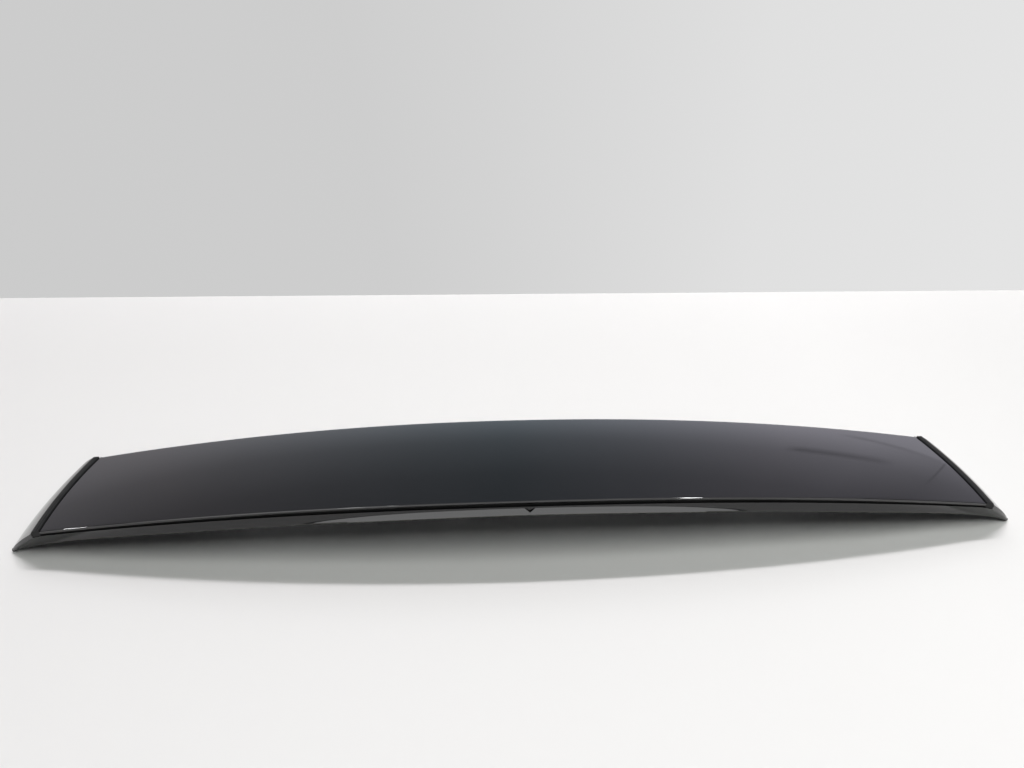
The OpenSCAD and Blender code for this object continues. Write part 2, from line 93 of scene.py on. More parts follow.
REAR_KICK = 3.5
KICK_HALF_W = 265.0
KICK_TOP = 0.27
KICK_TOP_BESIDE = 0.9
KICK_TOP_POWER = 3.5
FOOT_ARCH_POWER = 1.72
TIP_DROP = 20.7
TIP_POWER = 10.3
FRONT_FACE_H = 14.0
FRONT_FOOT_EASE = 1.25
FLOOR_WALL = 2.8
RIM_W = 0.8
RIM_BELOW = 0.5
SIDE_BULGE = 1.7
FOOT_R = 3.0
MARK_W = 12.0
MARK_H = MARK_W / 2.4
PAD_X = 300.0
PLATE_L = 104.0
PLATE_D = 54.0
PLATE_R = 8.0
PAD_RIM = 4.0
PAD_Z = 30.0
PAD_BACK = 92.0
NUT_SPACING = 60.0
NUT_HOLE_D = 13.4
NUT_HOLE_H = 5.2
PIN_HOLE_D = 12.4
PIN_HOLE_H = 3.2
SCREW_DX = 86.0
SCREW_DY = 36.0
SCREW_HOLE_D = 5.4
SCREW_HOLE_H = 7.2
BUFFER_X = 170.0
BUFFER_BOSS_D = 24.0
BUFFER_Z = 41.0
BUFFER_HOLE_D = 6.4
BUFFER_HOLE_H = 7.2
CHANNEL_OUT = SEAL_W + 2 * SEAT
LEDGE_FRONT = NOSE_H + SEAT
LEDGE_IN = 3.5
FOOT_FRONT_H = FRONT_H - FRONT_FACE_H
FOOT_REAR_H = REAR_H - LIP_H - REAR_FACE_H
NOSE_TILT = math.atan2(REAR_H - FRONT_H + 4 * CROWN_MID, CHORD - NOSE_R - LIP_R)
REAR_Y0 = (REAR_LEAN + REAR_KICK - CHORD + NOSE_R * math.sin(NOSE_TILT)) / 2
FRONT_Y0 = REAR_Y0 + CHORD

# Sizes of what is finer than the CAD, in millimetres. LIP_UNDER and SHARP_ANGLE are in degrees, and
# CREASE_SOFT is a share of the rear wall's height.
LIP_UNDER = 17.0
HEM_GAP = 0.1
CREASE_SOFT = 0.08
MARK_DEPTH = 3.2
MARK_SHALLOW = 0.3
NUB_HALF = (2.7, 2.9, 2.6)
NUB_CLEAR = 0.05
REAR_SEAL_ROUND = 0.4
BLOCK_EASE = 0.8
CUT_PAST = 1.0
SHARP_ANGLE = 35.0

# Steps of the fine grid: across the blade, closer towards the tips, and along the chord.
ACROSS = 320
ALONG = 40
CROWDING = 0.35
CORNERS = 5
CORNER_STEP = 0.00025
INNER_STEP = 0.003
TINY = 0.0005

# Steps round the edges, down the walls and round the small parts.
ROLL_STEPS = 10
CURL_STEPS = 3
WALL_STEPS = 15
WALL_CROWDING = 1.6
FOOT_STEPS = 8
SEAL_RINGS = 60
NUB_RINGS = 13
NUB_STEPS = 24
CORNER_STEPS = 10
ROUND_STEPS = 48
HOLE_STEPS = 32

# The stage in metres. The table meets the backdrop along a line from EDGE_LEFT_Y to EDGE_RIGHT_Y.
STAGE_X = 5.0
TABLE_FRONT_Y = -4.5
EDGE_LEFT_Y = 0.6192
EDGE_RIGHT_Y = 0.4680
BACKDROP_FAR_Y = 6.0
FLOOR_Z = -0.0002
WALL_LOW = -0.01
WALL_HIGH = 0.75
FAN_Y = -0.72
STREAK_FALL = 0.05
FIELD_RISE = 0.093
UPRIGHT_LEAN = 0.112
TUBE_Z = 2.45
TUBE_L = 1.0

# How much the flakes change the paint's tone, beside its clouds.
FLAKE_SHARE = 0.6

# The camera in metres and radians, and the strengths of the world.
CAMERA_AT = (-0.06123, -0.71626, 0.69282)
PITCH, YAW, ROLL = 0.61693, 0.06286, 0.01532
FOCAL_PX = 780.11
PHOTO_W_PX = 1024
SENSOR_W = 36.0
SKY_LIGHT = 0.055
SKY_MIRRORED = 0.25
SKY_SEEN = 0.65


def stations():
    u = np.linspace(-1, 1, ACROSS + 1 - 2 * CORNERS)
    t = u * (1 + CROWDING - CROWDING * u * u) * (1 - CORNERS * CORNER_STEP)
    beside = 1 - CORNER_STEP * np.arange(CORNERS)
    return np.concatenate([-beside, t, beside[::-1]])


T_STATIONS = stations()
S_STATIONS = np.linspace(0, 1, ALONG + 1)


def unit(v):
    return v / np.linalg.norm(v, axis=-1, keepdims=True)


def lerp(a, b, u):
    return a + (b - a) * u


# The panel's surface, over s from the leading edge to the rear one and t from the left side to the right.
def front_y(t):
    return FRONT_Y0 - FRONT_BOW * t * t


def rear_y(t):
    return REAR_Y0 + REAR_BOW * t * t


def front_z(t):
    return FRONT_H - FRONT_ARCH * np.abs(t) ** FRONT_ARCH_POWER


def rear_z(t):
    return REAR_H - REAR_ARCH * np.abs(t) ** REAR_ARCH_POWER


def panel_half(s):
    return lerp(PANEL_FRONT_W, PANEL_REAR_W, s) / 2 + PANEL_SIDE_BOW * 4 * s * (1 - s)


def crown(t):
    return lerp(CROWN_MID, CROWN_SIDE, t * t)


def skin(s, t):
    """A point of the panel's top surface, for arrays of stations."""
    s, t = np.broadcast_arrays(np.asarray(s, float), np.asarray(t, float))
    y = lerp(front_y(t) - NOSE_R, rear_y(t) + LIP_R, s)
    z = lerp(front_z(t), rear_z(t), s) + crown(t) * 4 * s * (1 - s)
    return np.stack([t * (panel_half(s) - SIDE_R), y, z], -1)


def skin_ds(s, t):
    return skin(s + TINY, t) - skin(s - TINY, t)


def skin_dt(s, t):
    return skin(s, t + TINY) - skin(s, t - TINY)


def normal(s, t):
    return unit(np.cross(skin_ds(s, t), skin_dt(s, t)))


def out_side(s, t):
    sign = np.where(np.asarray(t) < 0, -1.0, 1.0)[..., None]
    return sign * unit(np.cross(normal(s, t), skin_ds(s, t)))


def out_end(s, t, corner):
    """The way out past the rear (s = 1) or the leading edge (s = 0), along the sides at a corner."""
    sign = np.where(np.asarray(s) > 0.5, 1.0, -1.0)[..., None]
    across = np.cross(skin_dt(s, t), normal(s, t))
    return sign * unit(np.where(corner[..., None], skin_ds(s, t), across))


# The border of the grid, clockwise from above: front, right side, rear, left side.
BORDER = np.array(
    [(i, 0) for i in range(ACROSS)] + [(ACROSS, j) for j in range(ALONG)]
    + [(i, ALONG) for i in range(ACROSS, 0, -1)] + [(0, j) for j in range(ALONG, 0, -1)])
BORDER_I, BORDER_J = BORDER[:, 0], BORDER[:, 1]
BORDER_T, BORDER_S = T_STATIONS[BORDER_I], S_STATIONS[BORDER_J]
FROM_SIDE = np.minimum(BORDER_I, ACROSS - BORDER_I)
BESIDE = FROM_SIDE <= CORNERS
ON_SIDE = (BORDER_I == 0) | (BORDER_I == ACROSS)
AT_FRONT = BORDER_J == 0
AT_REAR = BORDER_J == ALONG
SPOTS = BORDER_J * (ACROSS + 1) + BORDER_I

# The angle of an outward offset, from sideways to lengthways: round the foot's corners it turns.
TURN = np.where(AT_FRONT | AT_REAR, np.minimum(FROM_SIDE / CORNERS, 1), 0) * math.pi / 2


def offsets(value, u):
    """How far out and up, from a pair of numbers or from a function of the station that gives two arrays."""
    out, up = value(u) if callable(value) else value
    return np.broadcast_to(np.asarray(out, float), u.shape), np.broadcast_to(np.asarray(up, float), u.shape)


def edge_ring(side, rear, front):
    """A ring of points round the panel, set off outwards and upwards from its edges."""
    side_out, side_up = offsets(side, BORDER_S)
    rear_out, rear_up = offsets(rear, BORDER_T)
    front_out, front_up = offsets(front, BORDER_T)
    wide = np.where(BESIDE, SIDE_R + side_out, 0)[:, None] * out_side(BORDER_S, BORDER_T)
    reach = np.where(AT_FRONT, NOSE_R + front_out, np.where(AT_REAR, LIP_R + rear_out, 0))
    end = out_end(BORDER_S, BORDER_T, BESIDE)
    rise = np.where(ON_SIDE, side_up, np.where(AT_FRONT, front_up, rear_up))
    return skin(BORDER_S, BORDER_T) + wide + reach[:, None] * end + rise[:, None] * normal(BORDER_S, BORDER_T)


def full_grid(f):
    """f(s, t) over the grid. The rows between its first and last one keep clear of the border."""
    s, t = np.meshgrid(S_STATIONS, T_STATIONS, indexing="ij")
    t = t.copy()
    t[1:-1, 1:-1] *= 1 - INNER_STEP
    return f(s, t).reshape(-1, 3)


def with_border(points, ring):
    points = points.copy()
    points[SPOTS] = ring
    return points


def grid_faces(offset, flip):
    a = (np.arange(ALONG)[:, None] * (ACROSS + 1) + np.arange(ACROSS)[None, :]).ravel() + offset
    d = a + ACROSS + 1
    quads = np.stack([a, a + 1, d + 1, d], -1)
    return quads[:, ::-1] if flip else quads


def grid_solid(top, rings, bottom):
    """Points and faces of a closed solid: a top grid, rings round its border, and a bottom grid."""
    count, loop = len(top), len(BORDER)
    points = np.concatenate([top] + rings + [bottom])
    low = count + len(rings) * loop
    index = [SPOTS] + [count + k * loop + np.arange(loop) for k in range(len(rings))] + [low + SPOTS]
    faces = [grid_faces(0, False)]
    for a, b in zip(index, index[1:]):
        faces.append(np.stack([a, b, np.roll(b, -1), np.roll(a, -1)], -1))
    faces.append(grid_faces(low, True))
    return points, np.concatenate(faces)[:, ::-1]


def loft(rings):
    """Points and faces of a closed solid through rings of equal length."""
    n = len(rings[0])
    faces = []
    for i in range(len(rings) - 1):
        for k in range(n):
            a, b = i * n + k, i * n + (k + 1) % n
            faces.append([a, b, b + n, a + n])
    last = (len(rings) - 1) * n
    faces.append(list(range(n))[::-1])
    faces.append([last + k for k in range(n)])
    return np.concatenate(rings), faces


def new_object(name, data):
    obj = bpy.data.objects.new(name, data)
    bpy.context.scene.collection.objects.link(obj)
    return obj


def new_mesh(name, points, faces):
    """A mesh from points in metres."""
    mesh = bpy.data.meshes.new(name)
    mesh.from_pydata(points.tolist(), [], [[int(i) for i in face] for face in faces])
    mesh.validate()
    return mesh


def smooth(mesh):
    """Shades a mesh smooth and keeps its hard edges sharp."""
    mesh.shade_smooth()
    mesh.set_sharp_from_angle(angle=math.radians(SHARP_ANGLE))


def mesh_piece(name, points, faces, material):
    """A smooth piece from points in millimetres, kept inside the CAD's box."""
    mesh = new_mesh(name, np.clip(points * MM, cad_box[0], cad_box[1]), faces)
    smooth(mesh)
    mesh.materials.append(material)
    piece = new_object(name, mesh)
    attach(piece, "root")
    return piece


def plain_object(name, points, faces):
    return new_object(name, new_mesh(name, np.array(points) * MM, faces))


def carve(obj, cutters):
    """Cuts the cutters out of an object for good and takes them away."""
    for cutter in cutters:
        mod = obj.modifiers.new("cut", "BOOLEAN")
        mod.operation, mod.object, mod.solver = "DIFFERENCE", cutter, "EXACT"
    evaluated = obj.evaluated_get(bpy.context.evaluated_depsgraph_get())
    mesh = bpy.data.meshes.new_from_object(evaluated)
    smooth(mesh)
    obj.modifiers.clear()
    obj.data = mesh
    for cutter in cutters:
        bpy.data.objects.remove(cutter)


# Upper shell.
def roll(a):
    """Out and up of the rolled edges at angle a: side, rear lip and nose."""
    return [(-r * (1 - math.sin(a)), -r * (1 - math.cos(a))) for r in (SIDE_R, LIP_R, NOSE_R)]


def build_upper(material):
    rolled = [edge_ring(*roll(math.pi / 2 * k / ROLL_STEPS)) for k in range(1, ROLL_STEPS + 1)]
    hem_back = HEM_GAP + NOSE_R - math.sqrt(NOSE_R ** 2 - (NOSE_R - LIP_H) ** 2)
    # The rear lip rolls on past the upright and leans back under itself, down to the seal.
    curled = []
    for k in range(1, 2 * CURL_STEPS + 1):
        past = math.radians(LIP_UNDER * min(k, CURL_STEPS) / CURL_STEPS)
        out, up = -LIP_R * (1 - math.cos(past)), -LIP_R * (1 + math.sin(past))
        straight = max(0, k - CURL_STEPS) / CURL_STEPS
        out -= straight * (LIP_H + up) * math.tan(past)
        up = lerp(up, -LIP_H, straight)
        share = (LIP_R + up) / (LIP_R - LIP_H)
        back = hem_back if k == 2 * CURL_STEPS else 0.0
        curled.append(edge_ring(
            (0, -lerp(SIDE_R, LIP_H, share)), (out, up),
            lambda t: (np.where(np.abs(t) < 1, 0, -back), -lerp(NOSE_R, NOSE_H, share))))
    inside = edge_ring((-UPPER_WALL, -LIP_H), (-UPPER_WALL, -LIP_H), (-UPPER_WALL, -NOSE_H))
    under = edge_ring(*[(-UPPER_WALL, -UPPER_WALL)] * 3)

    def inner(s, t):
        t = t * (1 - (UPPER_WALL - SIDE_R) / panel_half(s))
        return skin(s, t) - UPPER_WALL * normal(s, t)
    points, faces = grid_solid(full_grid(skin), rolled + curled + [inside],
                               with_border(full_grid(inner), under))
    piece = mesh_piece("upper_shell_painted", points, faces, material)
    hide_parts("upper_shell")


# Lower shell: its foot line, the ledge of its rear face, and the height of its floor.
def rear_seal_h(t):
    return lerp(REAR_SEAL_H_MID, REAR_SEAL_H_END, t * t)


def ledge_rear(t):
    return LIP_H + rear_seal_h(t) + 2 * SEAT


def ledge_side(s):
    return lerp(LEDGE_FRONT, ledge_rear(1.0), s)


def foot_half(s):
    return lerp(FOOT_FRONT_W, TIP_SPAN, s) / 2 + FOOT_SIDE_BOW * 4 * s * (1 - s)


def kick(t):
    return REAR_KICK * np.maximum(0, 1 - (t * foot_half(1) / KICK_HALF_W) ** 2)


def foot_front_y(t):
    return front_y(t) - FOOT_R


def foot_rear_y(t):
    lean = lerp(REAR_LEAN, -TIP_AHEAD, t ** TIP_AHEAD_POWER)
    return rear_y(t) - kick(t) - lean - TIP_NUB * t ** TIP_NUB_POWER


def foot_front_z(t):
    return FOOT_FRONT_H * (1 - np.abs(t) ** FRONT_ARCH_POWER) ** FRONT_FOOT_EASE


def foot_rear_z(t):
    a = np.abs(t)
    return (FOOT_REAR_H - TIP_DROP) * (1 - a ** FOOT_ARCH_POWER) + TIP_DROP * (1 - a ** TIP_POWER)


def floor_skin(s, t):
    s, t = np.broadcast_arrays(np.asarray(s, float), np.asarray(t, float))
    y = lerp(foot_front_y(t) - FOOT_R, foot_rear_y(t) + FOOT_R, s)
    return np.stack([t * (foot_half(s) - FOOT_R), y, lerp(foot_front_z(t), foot_rear_z(t), s)], -1)


def floor_z(x, y):
    def along(t):
        return (foot_front_y(t) - FOOT_R - y) / (foot_front_y(t) - foot_rear_y(t) - 2 * FOOT_R)

    def across(s):
        return np.clip(x / (foot_half(s) - FOOT_R), -1, 1)
    t = across(along(across(0.5)))
    return lerp(foot_front_z(t), foot_rear_z(t), along(t))


def foot_ring(out, up):
    p = floor_skin(BORDER_S, BORDER_T)
    p[:, 0] += out * np.cos(TURN) * np.where(BORDER_T < 0, -1, 1)
    p[:, 1] += out * np.sin(TURN) * np.where(AT_FRONT, 1, -1)
    p[:, 2] += up
    return p


def wall_rings(rim, foot):
    """The painted wall from the rim down to the foot: bulged at the sides, kicked out at the rear."""
    beside = np.where(AT_FRONT, ON_SIDE, BESIDE)
    behind = AT_REAR & ~beside
    u = np.minimum(1, np.abs(BORDER_T) * foot_half(1.0) / KICK_HALF_W)
    crease = lerp(KICK_TOP, KICK_TOP_BESIDE, u ** KICK_TOP_POWER)
    at_foot = 0.5 * (1 - crease + np.sqrt((1 - crease) ** 2 + CREASE_SOFT ** 2))
    dx, dz = foot[:, 0] - rim[:, 0], foot[:, 2] - rim[:, 2]
    bow = SIDE_BULGE / np.hypot(dx, dz)[:, None] * np.stack([-dz * np.sign(dx), 0 * dx, np.abs(dx)], -1)
    rings = []
    for v in np.linspace(0, 1, WALL_STEPS + 2)[1:-1]:
        # The steps lie closer round the crease, whose edge is softened over a short way.
        w = (v - 0.5) * 2
        w = np.sign(w) * np.abs(w) ** WALL_CROWDING
        down = np.where(behind, np.where(w > 0, crease + w * (1 - crease), crease * (1 + w)), v)
        past = down - crease
        short = 0.5 * (past + np.sqrt(past ** 2 + CREASE_SOFT ** 2))
        ring = lerp(rim, foot, down[:, None])
        ring[:, 1] += np.where(behind, kick(BORDER_T) * (down - short / at_foot), 0)
        ring += np.where(beside[:, None], bow * 4 * v * (1 - v), 0)
        rings.append(ring)
    return rings


def build_lower(material):
    shelf = edge_ring(lambda s: (-LEDGE_IN, -ledge_side(s)),
                      lambda t: (-REAR_SEAL_BACK - REAR_SEAL_W - 2 * SEAT, -ledge_rear(t)),
                      (-UPPER_WALL, -LEDGE_FRONT))
    channel = edge_ring(lambda s: (CHANNEL_OUT, -ledge_side(s)),
                        lambda t: (-REAR_SEAL_BACK, -ledge_rear(t)),
                        (-UPPER_WALL / 2, -LEDGE_FRONT))
    channel_top = edge_ring((CHANNEL_OUT, -RIM_BELOW),
                            lambda t: (-REAR_SEAL_BACK / 2, -ledge_rear(t)),
                            (-UPPER_WALL / 4, -LEDGE_FRONT))
    rim = edge_ring((CHANNEL_OUT + RIM_W, -RIM_BELOW),
                    lambda t: (0, -ledge_rear(t)),
                    (0, -LEDGE_FRONT))
    foot_side = foot_ring(FOOT_R, FOOT_R)
    turns = [foot_ring(FOOT_R * math.cos(a), FOOT_R * (1 - math.sin(a)))
             for a in np.radians(np.linspace(0, 90, FOOT_STEPS + 1))[1:-1]]

    def inner(s, t):
        x = t * (skin(s, 1.0)[..., 0] + SIDE_R - LEDGE_IN)
        y = lerp(front_y(t) - UPPER_WALL, rear_y(t) + REAR_SEAL_BACK + REAR_SEAL_W, s)
        return np.stack([x, y, floor_z(x, y) + FLOOR_WALL], -1)
    y = np.where(AT_FRONT, np.minimum(shelf[:, 1], foot_side[:, 1] - FLOOR_WALL), shelf[:, 1])
    inner_edge = np.stack([shelf[:, 0], y, floor_z(shelf[:, 0], y) + FLOOR_WALL], -1)
    walls = [shelf, channel, channel_top, rim] + wall_rings(rim, foot_side) + [foot_side] + turns
    points, faces = grid_solid(with_border(full_grid(inner), inner_edge), walls, full_grid(floor_skin))
    piece = mesh_piece("lower_shell_painted", points, faces, material)
    cut_mark(piece)
    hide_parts("lower_shell")


def cut_mark(piece):
    """The small triangle, point down, in the middle of the ledge. Its floor leans in under itself."""
    rim_z, foot_z = REAR_H - ledge_rear(0), FOOT_REAR_H + FOOT_R
    top_z = lerp(rim_z, foot_z, KICK_TOP)
    top_y = rear_y(0) - KICK_TOP * REAR_LEAN
    fall = math.atan2(REAR_LEAN + REAR_KICK - KICK_TOP * REAR_LEAN, top_z - foot_z)
    down = np.array([0, -math.sin(fall), -math.cos(fall)])
    out = np.array([0, -math.cos(fall), math.sin(fall)])
    corners = [(-MARK_W / 2, 0, MARK_SHALLOW), (0, MARK_H, MARK_DEPTH), (MARK_W / 2, 0, MARK_SHALLOW)]
    floor = [np.array([x, top_y, top_z]) + v * down - deep * out for x, v, deep in corners]
    above = [np.array([x, top_y, top_z]) + v * down + MARK_DEPTH * out for x, v, _ in corners]
    faces = [(2, 1, 0), (3, 4, 5), (1, 4, 3, 0), (2, 5, 4, 1), (0, 3, 5, 2)]
    carve(piece, [plain_object("cutter", floor + above, faces)])


def build_tips(material):
    """The small rounded nub that ends each tip."""
    turn = np.linspace(0, 2 * math.pi, NUB_STEPS, endpoint=False)
    rings = [np.stack([math.cos(a) * np.cos(turn), math.cos(a) * np.sin(turn), math.sin(a) + 0 * turn], -1)
             for a in np.linspace(-math.pi / 2, math.pi / 2, NUB_RINGS)]
    ball, faces = loft(rings)
    half_x, half_y, half_z = NUB_HALF
    for side, word in ((-1, "left"), (1, "right")):
        at = np.array([side * (TIP_SPAN / 2 - half_x - NUB_CLEAR),
                       float(foot_rear_y(1.0)) + half_y,
                       half_z + NUB_CLEAR])
        piece = mesh_piece("lower_shell_nub_" + word, ball * NUB_HALF + at, faces, material)
        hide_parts("lower_shell")


# Blocks under the floor that carry the plates and the buffers.
def round_box(cx, cy, w, d, r):
    points = []
    for q in range(4):
        sx, sy = (1 if q < 2 else -1), (1 if q in (0, 3) else -1)
        for k in range(CORNER_STEPS + 1):
            a = math.radians(-90 * q + 90 - 90 * k / CORNER_STEPS)
            points.append((cx + sx * (w / 2 - r) + r * math.cos(a), cy + sy * (d / 2 - r) + r * math.sin(a)))
    return np.array(points)


def circle(cx, cy, d, steps=ROUND_STEPS):
    a = -2 * math.pi * np.arange(steps) / steps
    return np.stack([cx + d / 2 * np.cos(a), cy + d / 2 * np.sin(a)], -1)


def solid_drum(outline, z0, z1):
    n = len(outline)
    points = [(x, y, z1) for x, y in outline] + [(x, y, z0) for x, y in outline]
    faces = [[k, (k + 1) % n, n + (k + 1) % n, n + k] for k in range(n)]
    faces += [list(range(n))[::-1], [n + k for k in range(n)]]
    return points, faces


def build_block(name, outline, inset, face_z, holes, material):
    """A moulded block under the floor with an eased lower edge and its blind holes cut in."""
    n = len(outline)
    top = [(x, y, float(floor_z(x, y)) + FLOOR_WALL / 2) for x, y in outline]
    eased = [(x, y, face_z + BLOCK_EASE) for x, y in outline]
    middle = outline.mean(0)
    points = top + eased + [(x, y, face_z) for x, y in inset]
    points.append((middle[0], middle[1], float(floor_z(*middle)) + FLOOR_WALL / 2))
    faces = []
    for k in range(n):
        m = (k + 1) % n
        faces += [[k, m, n + m, n + k], [n + k, n + m, 2 * n + m, 2 * n + k], [m, k, 3 * n]]
    faces.append([2 * n + k for k in range(n)])
    piece = plain_object(name, points, faces)
    carve(piece, [
        plain_object("cutter", *solid_drum(circle(x, y, d, HOLE_STEPS), face_z - CUT_PAST, face_z + depth))
        for x, y, d, depth in holes])
    piece.data.materials.clear()
    piece.data.materials.append(material)
    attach(piece, "root")
    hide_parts("lower_shell")


def build_blocks(material):
    pad_y = float(front_y(PAD_X / foot_half(0.5))) - PAD_BACK
    ease = 2 * BLOCK_EASE
    for side, word in ((-1, "left"), (1, "right")):
        cx = side * PAD_X
        holes = [(cx + k * NUT_SPACING / 2, pad_y, NUT_HOLE_D, NUT_HOLE_H) for k in (-1, 1)]
        holes.append((cx, pad_y, PIN_HOLE_D, PIN_HOLE_H))
        holes += [(cx + a * SCREW_DX / 2, pad_y + b * SCREW_DY / 2, SCREW_HOLE_D, SCREW_HOLE_H)
                  for a in (-1, 1) for b in (-1, 1)]
        w, d, r = PLATE_L + 2 * PAD_RIM, PLATE_D + 2 * PAD_RIM, PLATE_R + PAD_RIM
        build_block("lower_shell_pad_" + word, round_box(cx, pad_y, w, d, r),
                    round_box(cx, pad_y, w - ease, d - ease, r - BLOCK_EASE), PAD_Z, holes, material)
        bx = side * BUFFER_X
        build_block("lower_shell_boss_" + word, circle(bx, pad_y, BUFFER_BOSS_D),
                    circle(bx, pad_y, BUFFER_BOSS_D - ease), BUFFER_Z,
                    [(bx, pad_y, BUFFER_HOLE_D, BUFFER_HOLE_H)], material)


# Seal: the strip under the rear lip and the two side strips.
def build_seal_rear(material):
    """The strip under the rear lip, with a rounded rear edge."""
    spots = {int(i): k for k, (i, j) in enumerate(BORDER) if j == ALONG}
    kept = [spots[i] for i in [0, *range(CORNERS + 1, ACROSS - CORNERS), ACROSS]]
    edge, corner = REAR_SEAL_ROUND, 0.3 * REAR_SEAL_ROUND
    rows = []
    for back, share in ((edge, 0), (corner, 0.25), (0, 0.5), (corner, 0.75), (edge, 1), (REAR_SEAL_W, 1),
                        (REAR_SEAL_W, 0)):
        ring = edge_ring(
            lambda s: (SEAT + SEAL_W / 2, -LIP_H - SEAT - rear_seal_h(1.0) * (1 - share)),
            lambda t: (-REAR_SEAL_BACK - back, -LIP_H - SEAT - rear_seal_h(t) * (1 - share)), (0, 0))
        rows.append(ring[kept])
    points, faces = loft(list(np.stack(rows, 1)))
    piece = mesh_piece("edge_seal_rear", points, faces, material)
    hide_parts("edge_seal")


def beside_panel(s, out, up):
    return skin(s, 1.0) + (SIDE_R + out) * out_side(s, 1.0) + up * normal(s, 1.0)


def seal_profile(s):
    """The side strip's outline: a dome with a shallow groove beside the panel."""
    low = SEAT - ledge_side(s)
    a, b, r = SEAT, SEAT + SEAL_W, SEAL_PROUD / 2
    top = SEAL_PROUD
    return [(a, low), (a, top - 2 * r), (a + 0.15 * r, top - r), (a + 0.5 * r, top - 0.3 * r),
            (a + 1.2 * r, top - 0.05), (a + 2.0 * r, top - 0.02), (a + 2.4 * r, top - 0.5 * r),
            (a + 3.0 * r, top - 0.6 * r), (a + 3.5 * r, top - 0.05), (lerp(a, b, 0.55), top),
            (b - 2.0 * r, top - 0.02), (b - 1.2 * r, top - 0.08), (b - 0.6 * r, top - 0.35 * r),
            (b - 0.2 * r, top - 0.9 * r), (b, top - 2 * r), (b, low)]


def build_seal_sides(material):
    """The right strip along the panel's side, and its mirror image on the left."""
    reach = CHORD - NOSE_R - LIP_R
    first = (SEAL_SHORT - NOSE_R) / reach
    last = 1 + (LIP_R - REAR_SEAL_BACK / 2) / reach
    right, faces = loft([np.stack([beside_panel(s, out, up) for out, up in seal_profile(s)])
                         for s in np.linspace(first, last, SEAL_RINGS)])
    left_faces = [[len(right) + v for v in face[::-1]] for face in faces]
    points = np.concatenate([right, right * [-1, 1, 1]])
    piece = mesh_piece("edge_seal_sides", points, faces + left_faces, material)
    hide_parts("edge_seal")


# Materials.
class Graph:
    """The nodes of a material or of the world."""

    def __init__(self, owner):
        owner.use_nodes = True
        self.nodes = owner.node_tree.nodes
        self.links = owner.node_tree.links

    def feed(self, node, inputs):
        """Sets a node's inputs, by name or number, to values or to other nodes' outputs."""
        for key, value in inputs.items():
            if isinstance(value, bpy.types.NodeSocket):
                self.links.new(value, node.inputs[key])
            else:
                node.inputs[key].default_value = value

    def add(self, kind, inputs, **settings):
        node = self.nodes.new(kind)
        for key, value in settings.items():
            setattr(node, key, value)
        self.feed(node, inputs)
        return node

    def surface(self, shader):
        self.feed(self.nodes["Material Output"], {"Surface": shader})

    def coords(self):
        return self.add("ShaderNodeTexCoord", {}).outputs["Object"]

    def place(self):
        return self.add("ShaderNodeSeparateXYZ", {"Vector": self.coords()}).outputs

    def ray(self, kind):
        return self.add("ShaderNodeLightPath", {}).outputs[kind]

    def math(self, operation, *terms):
        return self.add("ShaderNodeMath", dict(enumerate(terms)), operation=operation).outputs[0]

    def times(self, color, factor):
        return self.add("ShaderNodeVectorMath", {0: color, 1: factor}, operation="MULTIPLY").outputs[0]

    def noise(self, coords, scale, detail, rough=0.5):
        inputs = {"Vector": coords, "Scale": scale, "Detail": detail, "Roughness": rough}
        return self.add("ShaderNodeTexNoise", inputs).outputs["Fac"]

    def bump(self, height, strength, distance):
        inputs = {"Height": height, "Strength": strength, "Distance": distance}
        return self.add("ShaderNodeBump", inputs).outputs["Normal"]

    def ramp(self, value, stops):
        """A colour that goes through the stops, each a value with its colour or its shade of grey."""
        low, high = stops[0][0], stops[-1][0]
        share = self.add("ShaderNodeMapRange", {"Value": value, "From Min": low, "From Max": high})
        node = self.add("ShaderNodeValToRGB", {"Fac": share.outputs["Result"]})
        bar = node.color_ramp
        while len(bar.elements) < len(stops):
            bar.elements.new(0.5)
        for element, (at, color) in zip(bar.elements, stops):
            element.position = (at - low) / (high - low)
            element.color = (*color, 1.0) if isinstance(color, tuple) else (color, color, color, 1.0)
        return node.outputs["Color"]


def new_material(name):
    """A material, its graph and its shader."""
    mat = bpy.data.materials.new(name)
    graph = Graph(mat)
    return mat, graph, graph.nodes["Principled BSDF"]


def paint_material(name, dark, light):
    """Dark grey metallic paint under clear lacquer: fine flakes, soft clouds and orange peel."""
    mat, graph, bsdf = new_material(name)
    coords = graph.coords()
    flakes = graph.add("ShaderNodeTexVoronoi", {"Vector": coords, "Scale": 2600.0}).outputs["Distance"]
    clouds = graph.noise(coords, scale=9.0, detail=3.0)
    tone = graph.math("MULTIPLY_ADD", flakes, FLAKE_SHARE, clouds)
    peel = graph.noise(coords, scale=260.0, detail=1.0)
    graph.feed(bsdf, {
        "Base Color": graph.ramp(tone, [(0.35, dark), (0.95, light)]),
        "Normal": graph.bump(flakes, strength=0.12, distance=0.0002),
        "Roughness": 0.42,
        "Specular IOR Level": 0.0,
        "Coat Weight": 1.0,
        "Coat Roughness": 0.03,
        "Coat IOR": 1.50,
        "Coat Normal": graph.bump(peel, strength=0.03, distance=0.0004)})
    return mat


def rubber_material(name, dark, light, shine):
    """Matt black rubber with a fine grain and a faint dust."""
    mat, graph, bsdf = new_material(name)
    coords = graph.coords()
    grain = graph.noise(coords, scale=900.0, detail=4.0, rough=0.6)
    dust = graph.noise(coords, scale=40.0, detail=5.0, rough=0.6)
    graph.feed(bsdf, {
        "Base Color": graph.ramp(dust, [(0.35, dark), (0.8, light)]),
        "Normal": graph.bump(grain, strength=0.25, distance=0.0002),
        "Roughness": 0.6,
        "Specular IOR Level": shine})
    return mat


